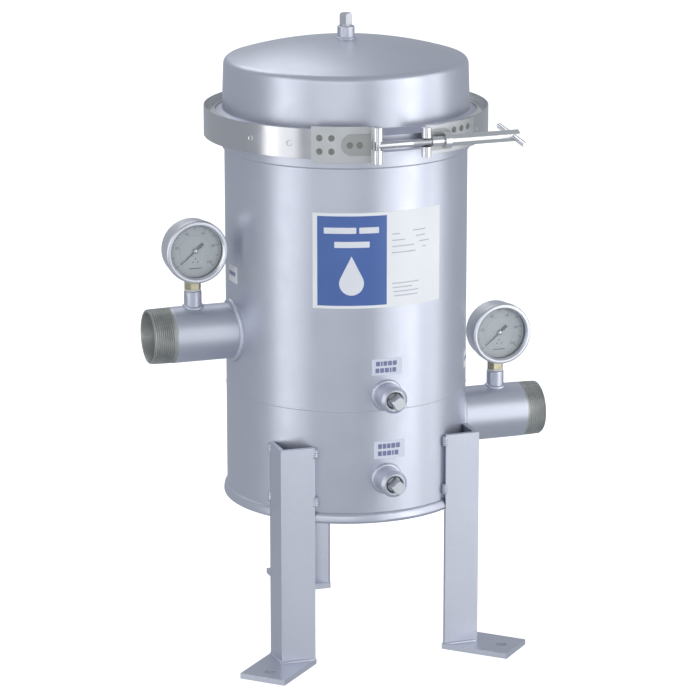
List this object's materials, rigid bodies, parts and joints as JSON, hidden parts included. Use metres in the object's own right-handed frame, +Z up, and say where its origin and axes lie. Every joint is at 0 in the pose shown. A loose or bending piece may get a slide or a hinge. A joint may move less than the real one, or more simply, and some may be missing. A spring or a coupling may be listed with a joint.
{
  "type": "cartridge filter housing",
  "caption": "Upright steel cartridge filter vessel on angle legs, with a domed lid under a swing-bolt band clamp, threaded side pipes with pressure gauges, plugged drains and a vent.",
  "frame": {"origin": "on the vessel's vertical axis, in the plane of the foot plates' undersides", "axes": "+Z up the vessel; X along the pipes with the outlet towards +X and the inlet towards -X; the drains, the nameplate, the gauge faces and the clamp's bolt face -Y"},
  "size_m": [0.4485, 0.3909, 0.6845],
  "materials": {
    "vessel_silver": "fine bead-blasted, coated silver-grey, satin",
    "polished_stainless": "bright, lightly brushed along the strip",
    "plated_plug": "cast stainless, bright square heads",
    "black_rubber": "matt black nitrile",
    "cartridge_cap": "moulded plastisol, satin",
    "filter_media": "pleated spun polyester, matt",
    "gauge_glass": "clear, glossy",
    "gauge_dial": "matt off-white with black scale",
    "pointer_black": "matt black",
    "brass": "machined",
    "thread_tape": "wound white sealing tape",
    "label_vinyl": "printed vinyl, white with blue"
  },
  "bodies": {
    "vessel": {"bottom_head": "vessel_silver", "lower_shell": "vessel_silver", "upper_shell": "vessel_silver", "tube_sheet": "vessel_silver", "body_flange": "vessel_silver", "closure_o_ring": "black_rubber", "lid_flange": "vessel_silver", "lid_head": "vessel_silver", "vent_coupling": "vessel_silver", "inlet_pipe": "vessel_silver", "outlet_pipe": "vessel_silver", "gauge_couplings": "vessel_silver", "drain_couplings": "vessel_silver", "leg_front_left": "vessel_silver", "leg_front_right": "vessel_silver", "leg_rear": "vessel_silver", "foot_front_left": "vessel_silver", "foot_front_right": "vessel_silver", "foot_rear": "vessel_silver", "cartridge_seat": "polished_stainless", "cartridge_gasket": "black_rubber", "cartridge_bottom_cap": "cartridge_cap", "cartridge_media": "filter_media", "cartridge_core": "polished_stainless", "cartridge_top_cap": "cartridge_cap", "inlet_gauge_case": "polished_stainless", "inlet_gauge_bezel": "polished_stainless", "inlet_gauge_lens": "gauge_glass", "inlet_gauge_dial": "gauge_dial", "inlet_gauge_socket": "brass", "inlet_gauge_movement": "brass", "outlet_gauge_case": "polished_stainless", "outlet_gauge_bezel": "polished_stainless", "outlet_gauge_lens": "gauge_glass", "outlet_gauge_dial": "gauge_dial", "outlet_gauge_socket": "brass", "outlet_gauge_movement": "brass", "thread_tape": "thread_tape", "nameplate": "label_vinyl", "drain_labels": "label_vinyl", "port_labels": "label_vinyl"},
    "left_clamp_half": {"left_band": "polished_stainless", "left_retainer": "polished_stainless", "left_strap": "polished_stainless", "left_hinge_leaf": "polished_stainless", "hinge_pin": "polished_stainless"},
    "right_clamp_half": {"right_band": "polished_stainless", "right_retainer": "polished_stainless", "right_strap": "polished_stainless", "right_trunnion": "polished_stainless", "right_hinge_leaf": "polished_stainless"},
    "swing_bolt": {"tee_bolt": "polished_stainless"},
    "bolt_collar": {"thrust_collar": "polished_stainless"},
    "handle": {"handle_tube": "polished_stainless", "cross_bar": "polished_stainless"},
    "vent_plug_body": {"vent_plug": "plated_plug"},
    "dirty_plug_body": {"dirty_drain_plug": "plated_plug"},
    "clean_plug_body": {"clean_drain_plug": "plated_plug"},
    "inlet_pointer_body": {"inlet_gauge_pointer": "pointer_black"},
    "outlet_pointer_body": {"outlet_gauge_pointer": "pointer_black"}
  },
  "joints": [
    {"name": "left_clamp_open", "type": "hinge", "parent": "vessel", "child": "left_clamp_half", "pos_m": [-0.00601, 0.15649, 0.5715], "axis": [0, 0, -1], "range_deg": [0, 0.7669]},
    {"name": "right_clamp_open", "type": "hinge", "parent": "vessel", "child": "right_clamp_half", "pos_m": [-0.00601, 0.15649, 0.5715], "axis": [0, 0, 1], "range_deg": [0, 0.7669]},
    {"name": "bolt_swing", "type": "hinge", "parent": "left_clamp_half", "child": "swing_bolt", "pos_m": [-0.02095, -0.15812, 0.5715], "axis": [0, 0, -1], "range_deg": [0, 90]},
    {"name": "collar_travel", "type": "slide", "parent": "swing_bolt", "child": "bolt_collar", "axis": [0.9993, 0.0384, 0], "range_m": [0, 0.00988]},
    {"name": "handle_turn", "type": "hinge", "parent": "bolt_collar", "child": "handle", "pos_m": [0.06599, -0.15478, 0.5715], "axis": [0.9993, 0.0384, 0], "range_deg": [0, 2519.9]},
    {"name": "vent_plug_turn", "type": "hinge", "parent": "vessel", "child": "vent_plug_body", "pos_m": [0, 0, 0.68], "axis": [0, 0, 1], "range_deg": [0, 1620]},
    {"name": "dirty_plug_turn", "type": "hinge", "parent": "vessel", "child": "dirty_plug_body", "pos_m": [0, -0.15, 0.298], "axis": [0, -1, 0], "range_deg": [0, 1620]},
    {"name": "clean_plug_turn", "type": "hinge", "parent": "vessel", "child": "clean_plug_body", "pos_m": [0, -0.15, 0.2065], "axis": [0, -1, 0], "range_deg": [0, 1620]},
    {"name": "inlet_pointer_turn", "type": "hinge", "parent": "vessel", "child": "inlet_pointer_body", "pos_m": [-0.173, 0, 0.4412], "axis": [0, 1, 0], "range_deg": [0, 270], "stiffness_Nm_per_rad": 0.0002},
    {"name": "outlet_pointer_turn", "type": "hinge", "parent": "vessel", "child": "outlet_pointer_body", "pos_m": [0.1748, 0, 0.3232], "axis": [0, 1, 0], "range_deg": [0, 270], "stiffness_Nm_per_rad": 0.0002}
  ],
  "couplings": [
    {"joint": "handle_turn", "follows": "collar_travel", "rad_per_m": 4452.7},
    {"joint": "left_clamp_open", "follows": "collar_travel", "rad_per_m": 1.3544},
    {"joint": "right_clamp_open", "follows": "collar_travel", "rad_per_m": 1.3544}
  ]
}
